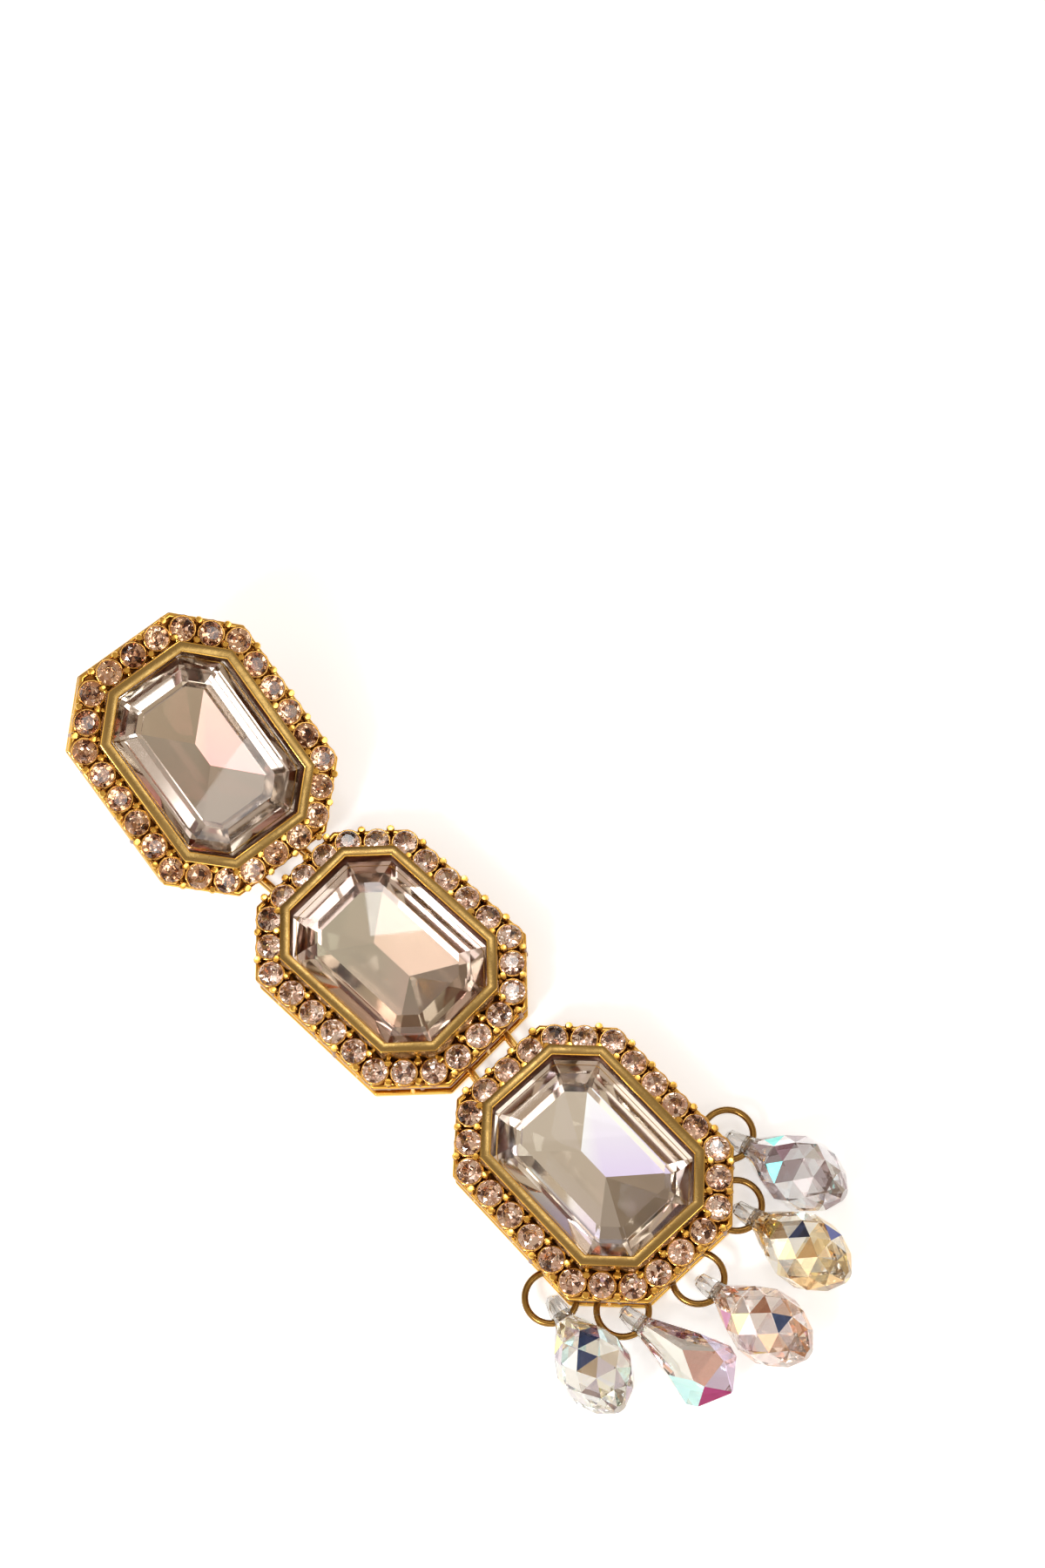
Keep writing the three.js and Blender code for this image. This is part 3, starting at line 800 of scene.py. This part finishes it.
def make_jump_ring(node, slit):
    """Round jump ring, closed but for the fine slit where its wire was cut."""
    middle = Vector(corner_points(node).mean(axis=0))
    bm = bmesh.new()
    wire_section(bm, capped=True)
    bmesh.ops.translate(bm, vec=(RING_RADIUS, 0, 0), verts=bm.verts)
    bmesh.ops.spin(bm, geom=bm.verts[:] + bm.edges[:] + bm.faces[:], cent=(0, 0, 0),
                   axis=(0, 0, 1), angle=2 * math.pi - RING_SLIT / RING_RADIUS, steps=RING_STEPS)
    turn = Matrix.Rotation(slit, 4, "Z")
    ring = make_piece(f"wire_{node}", bm, Matrix.Translation(middle) @ turn, [dark_gold],
                      SHARP_WIRE)
    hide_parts(node)


# ---------------------------------------------------------------- drops
# Rows of corners along a drop, from its bore: share of the length, share of the radius. Each
# row is turned by half a facet against the one before, and the spear's rows give their own turn.
BRIOLETTE_HEAD = ((-0.19, 0.13), (-0.165, 0.22), (-0.05, 0.29), (0.09, 0.34))
BRIOLETTE_BODY = ((0.03, 0.3), (0.12, 0.52), (0.24, 0.8), (0.37, 0.97), (0.5, 1.0),
                  (0.62, 0.88), (0.73, 0.6), (0.81, 0.2))
SPEAR_BODY = ((0.03, 0.33, 0.5), (0.4, 0.8, 0.5), (0.6, 0.97, 0), (0.68, 0.84, 0),
              (0.81, 0.06, 0.5))
# Drop facets, partly the coating's colour and partly painted reflections: tone, share of the
# mirror film, and how often it comes
RAINBOW_COATING_AND_PAINTED_REFLECTIONS = {
    1: (("EAE4E6", 0.3, 6), ("F4F1F2", 0.2, 5), ("F8FCFC", 0.1, 3), ("FFFFFF", 0.6, 4),
        ("B09EA2", 0.45, 4)),
    2: (("F9E8BC", 0.5, 5), ("FCF6E4", 0.2, 5), ("F2D09A", 0.6, 2.5), ("E2E0DA", 0.4, 3),
        ("FFFDF6", 0.1, 4)),
    3: (("FBDCC4", 0.5, 4), ("F6C09C", 0.6, 2), ("FDF6F0", 0.2, 5), ("E8DCDC", 0.4, 3),
        ("FFFDFB", 0.1, 4)),
    5: (("FCF8EA", 0.2, 4), ("DCD0E0", 0.4, 2.5), ("FDFCFA", 0.15, 5), ("F8EEC0", 0.45, 2.5),
        ("EADCC8", 0.5, 1.5), ("D4F4F0", 0.3, 1.5), ("FFFFFE", 0.1, 4)),
}
KNOB_TONES = (("F6F6F4", 0.2, 3), ("DCDCD8", 0.5, 2), ("FFFFFF", 0.1, 2))
KNOB_END = 0.06
# Painted flashes of reflected light on the upper side: how far along, how far across, tone
FLASHES = {
    1: ((0.2, 0.3, "8CEEE6"), (0.3, -0.45, "7EE2E6"), (0.36, -0.1, "F2C8E6"),
        (0.55, 0.5, "FFFFFF")),
    2: ((0.42, 0.3, "3C4A86"), (0.6, 0.62, "4A5490"), (0.16, 0.1, "F8F0A0"),
        (0.34, -0.1, "FAD8A8"), (0.55, -0.1, "F8D29C")),
    3: ((0.5, 0.15, "3E5488"), (0.4, 0.3, "F4A880"), (0.2, -0.5, "F6B0DC"),
        (0.33, -0.5, "F4EC98"), (0.62, -0.3, "F6C4A4")),
    5: ((0.32, 0.1, "36427E"), (0.4, -0.1, "4C5890"), (0.24, 0.5, "A88CC0"),
        (0.2, -0.6, "F6F2B0"), (0.55, -0.1, "EAD4B4")),
}
FLASH_FILM = 0.75
# Where the spear's long facets end and where its point begins, along the drop
SPEAR_SHOULDER = 0.45
SPEAR_POINT = 0.68
SPEAR_TOP_FACET = 0.5


def hull_of(rows, sides, length):
    """Convex faceted body from rows of corners along X, as an object to cut with."""
    bm = bmesh.new()
    for along, share, turn in rows:
        row = bmesh.ops.create_circle(bm, segments=sides, radius=share * DROP_RADIUS)["verts"]
        place = Matrix.Translation((along * length, 0, 0)) @ Matrix.Rotation(math.pi / 2, 4, "Y")
        bmesh.ops.transform(bm, verts=row, matrix=place
                            @ Matrix.Rotation(turn * 2 * math.pi / sides, 4, "Z"))
    bmesh.ops.convex_hull(bm, input=bm.verts[:])
    bmesh.ops.dissolve_limit(bm, angle_limit=math.radians(SAME_DROP_FACET),
                             verts=bm.verts[:], edges=bm.edges[:])
    return helper_object(bm)


def helper_object(bm):
    """Object that is only there for a cut."""
    helper = bpy.data.objects.new("helper", pattern_mesh(bm))
    bpy.context.scene.collection.objects.link(helper)
    return helper


def cut_mesh(bodies, tool):
    """Joins closed bodies and drills them, and gives the result as a bmesh."""
    first = bodies[0]
    for other, operation in [(body, "UNION") for body in bodies[1:]] + [(tool, "DIFFERENCE")]:
        modifier = first.modifiers.new("cut", "BOOLEAN")
        modifier.operation = operation
        modifier.solver = "EXACT"
        modifier.object = other
    evaluated = first.evaluated_get(bpy.context.evaluated_depsgraph_get())
    bm = bmesh.new()
    bm.from_mesh(evaluated.to_mesh())
    for body in [*bodies, tool]:
        bpy.data.objects.remove(body)
    return bm


def spear_tone(along, normal):
    """Film on the spear: each of its few large facets has its own colour, partly the film's and
    partly a painted reflection chosen by the way it faces.
    """
    if normal.z < 0:
        return linear("FDFBFD", 0.1)
    if along > SPEAR_POINT:
        return linear("93205A", 0.8) if normal.y < 0 else linear("E4CCEE", 0.4)
    if along > SPEAR_SHOULDER:
        if abs(normal.y) < SPEAR_TOP_FACET:
            return linear("FFC4B0", 0.6)
        return linear("B8F0EA" if normal.y < 0 else "D8CCF4", 0.4)
    return linear("FFFDE4", 0.05) if normal.y < 0 else linear("DED8C6", 0.45)


def make_drop(number, rng):
    """Drilled crystal drop: a knob with a bore, and a body cut in rows of facets."""
    node = f"drop_{number}"
    spear = number == SPEAR_DROP
    sides = SPEAR_SIDES if spear else BRIOLETTE_SIDES
    place, length = drop_place(node, sides)
    head, body = [
        [(along, share, 0.5 * (i % 2)) for i, (along, share) in enumerate(rows)]
        for rows in (BRIOLETTE_HEAD, BRIOLETTE_BODY)]
    bodies = [hull_of(head, HEAD_SIDES, length),
              hull_of(SPEAR_BODY if spear else body, sides, length)]
    bm = bmesh.new()
    bmesh.ops.create_cone(bm, cap_ends=True, segments=BORE_SEGMENTS, radius1=BORE_RADIUS,
                          radius2=BORE_RADIUS, depth=BORE_DEPTH,
                          matrix=Matrix.Rotation(math.pi / 2, 4, "X"))
    bm = cut_mesh(bodies, helper_object(bm))

    flashes = {}
    for along, across, tone in FLASHES.get(number, ()):
        point = Vector((along * length, across * DROP_RADIUS,
                        DROP_RADIUS * math.sqrt(1 - across ** 2)))
        nearest = min(bm.faces, key=lambda face: (face.calc_center_median() - point).length)
        flashes[nearest] = linear(tone, FLASH_FILM)

    # Coating colour with painted reflections, and painted flashes on the listed facets
    def film(face):
        along = face.calc_center_median().x / length
        if face in flashes:
            return [flashes[face]] * 2
        if spear and along > KNOB_END:
            return [spear_tone(along, face.normal)] * 2
        choices = KNOB_TONES if along < KNOB_END else RAINBOW_COATING_AND_PAINTED_REFLECTIONS[number]
        tone, share, _ = rng.choices(choices, [weight for _, _, weight in choices])[0]
        return [linear(tone, share)] * 2

    bm.normal_update()
    tint_facets(bm, film)
    drop = make_piece(f"faceted_{node}", bm, place, [rainbow])
    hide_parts(node)


# ---------------------------------------------------------------- assembly
for name in ("top", "middle", "bottom"):
    place = setting_place(name)
    bezel = make_bezel(name, place)
    make_halo(name, place)
    make_gallery(name, place)
    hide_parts(f"setting_{name}")
    make_halo_stones(name, place)
    make_crystal(name, place)

for joint in ("upper", "lower"):
    for side in ("left", "right"):
        make_link(f"link_{joint}_{side}")

rng = random.Random(DROP_SEED)
for number in range(1, DROP_COUNT + 1):
    make_jump_ring(f"jump_ring_{number}", rng.uniform(0, MOST_SLIT_TURN))
    make_drop(number, rng)

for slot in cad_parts["ear_post"].material_slots:
    slot.material = gold

# ---------------------------------------------------------------- table, light and camera
# Matt white board, a little bright of itself, so that the shadows on it stay faint
TABLE_HALF = 1.5
floor_mesh = bpy.data.meshes.new("table")
bm = bmesh.new()
bmesh.ops.create_grid(bm, x_segments=1, y_segments=1, size=TABLE_HALF)
bm.to_mesh(floor_mesh)
bm.free()
floor = bpy.data.objects.new("table", floor_mesh)
bpy.context.scene.collection.objects.link(floor)
material, _, shader = new_material("white_table")
shader.inputs["Base Color"].default_value = linear("F3F6F9")
shader.inputs["Roughness"].default_value = 0.7
shader.inputs["Emission Color"].default_value = linear("FFFFFF")
shader.inputs["Emission Strength"].default_value = 0.5
floor_mesh.materials.append(material)

# Room of beige walls, darker on the far side, which the gold and the stones give back
world = bpy.data.worlds.new("soft_studio")
world.use_nodes = True
bpy.context.scene.world = world
sky = world.node_tree
direction = add_node(sky, "ShaderNodeSeparateXYZ", [
    ("Vector", add_node(sky, "ShaderNodeTexCoord").outputs["Generated"])])
far_side = add_node(sky, "ShaderNodeMapRange", [
    ("Value", direction.outputs["Y"]), ("From Min", 0.25), ("From Max", 0.8)])
walls = add_node(sky, "ShaderNodeMix", [
    ("Factor", far_side.outputs["Result"]), (MIX_A, linear("C0B09F")), (MIX_B, linear("80705F"))],
    data_type="RGBA")
sky.links.new(walls.outputs[MIX_COLOUR], sky.nodes["Background"].inputs["Color"])


def soft_box(name, place, size, power, colour=(1, 1, 1)):
    """Rectangular soft light that faces the earring, placed in metres and given in watts."""
    data = bpy.data.lights.new(name, "AREA")
    data.shape = "RECTANGLE"
    data.size, data.size_y = size
    data.energy = power
    data.color = colour
    lamp = bpy.data.objects.new(name, data)
    lamp.location = place
    lamp.rotation_euler = Vector(place).to_track_quat("Z", "Y").to_euler()
    bpy.context.scene.collection.objects.link(lamp)


# Window side, which lights the crystals' steps and keel
soft_box("curtained_window", (-0.46, 0.17, 0.62), (0.5, 0.5), 0.56, (1, 0.93, 0.9))
soft_box("bright_pane", (-0.55, -0.08, 0.5), (0.13, 0.16), 2.6)
soft_box("white_wall", (-0.5, -0.28, 0.53), (0.28, 0.28), 0.32, (1, 0.95, 0.94))
# Strip, lamp and panel that the flat bead tips and rims mirror
soft_box("strip_light", (0.12, -0.48, 0.63), (0.36, 0.14), 0.55)
soft_box("lamp", (0.226, 0.27, 0.83), (0.12, 0.12), 0.35)
soft_box("ceiling_panel", (0.24, 0.26, 0.84), (0.4, 0.3), 0.3, (1, 0.95, 0.92))
# Low windows that brighten the crown's outer steps
soft_box("near_window", (-0.46, -0.65, 0.29), (0.35, 0.22), 0.6)
soft_box("far_window", (-0.53, 0.63, 0.22), (0.35, 0.2), 0.5)

# Camera 68 degrees above the table, fitted to the outlines of the three crystals
camera_data = bpy.data.cameras.new("camera")
camera_data.lens = 65.8
camera_data.sensor_width = 36
camera_data.clip_start = 0.01
camera = bpy.data.objects.new("camera", camera_data)
camera.matrix_world = Matrix((
    (0.69165, 0.68313, -0.2344, -0.04154),
    (-0.72047, 0.63002, -0.28982, -0.07335),
    (-0.05031, 0.36934, 0.92793, 0.24772),
    (0, 0, 0, 1)))
bpy.context.scene.collection.objects.link(camera)
bpy.context.scene.camera = camera

# Plain tone curve, and enough bounces for light to come back out of the foiled stones
bpy.context.scene.view_settings.view_transform = "Standard"
bpy.context.scene.cycles.glossy_bounces = 12
bpy.context.scene.cycles.transmission_bounces = 12
bpy.context.scene.cycles.max_bounces = 20
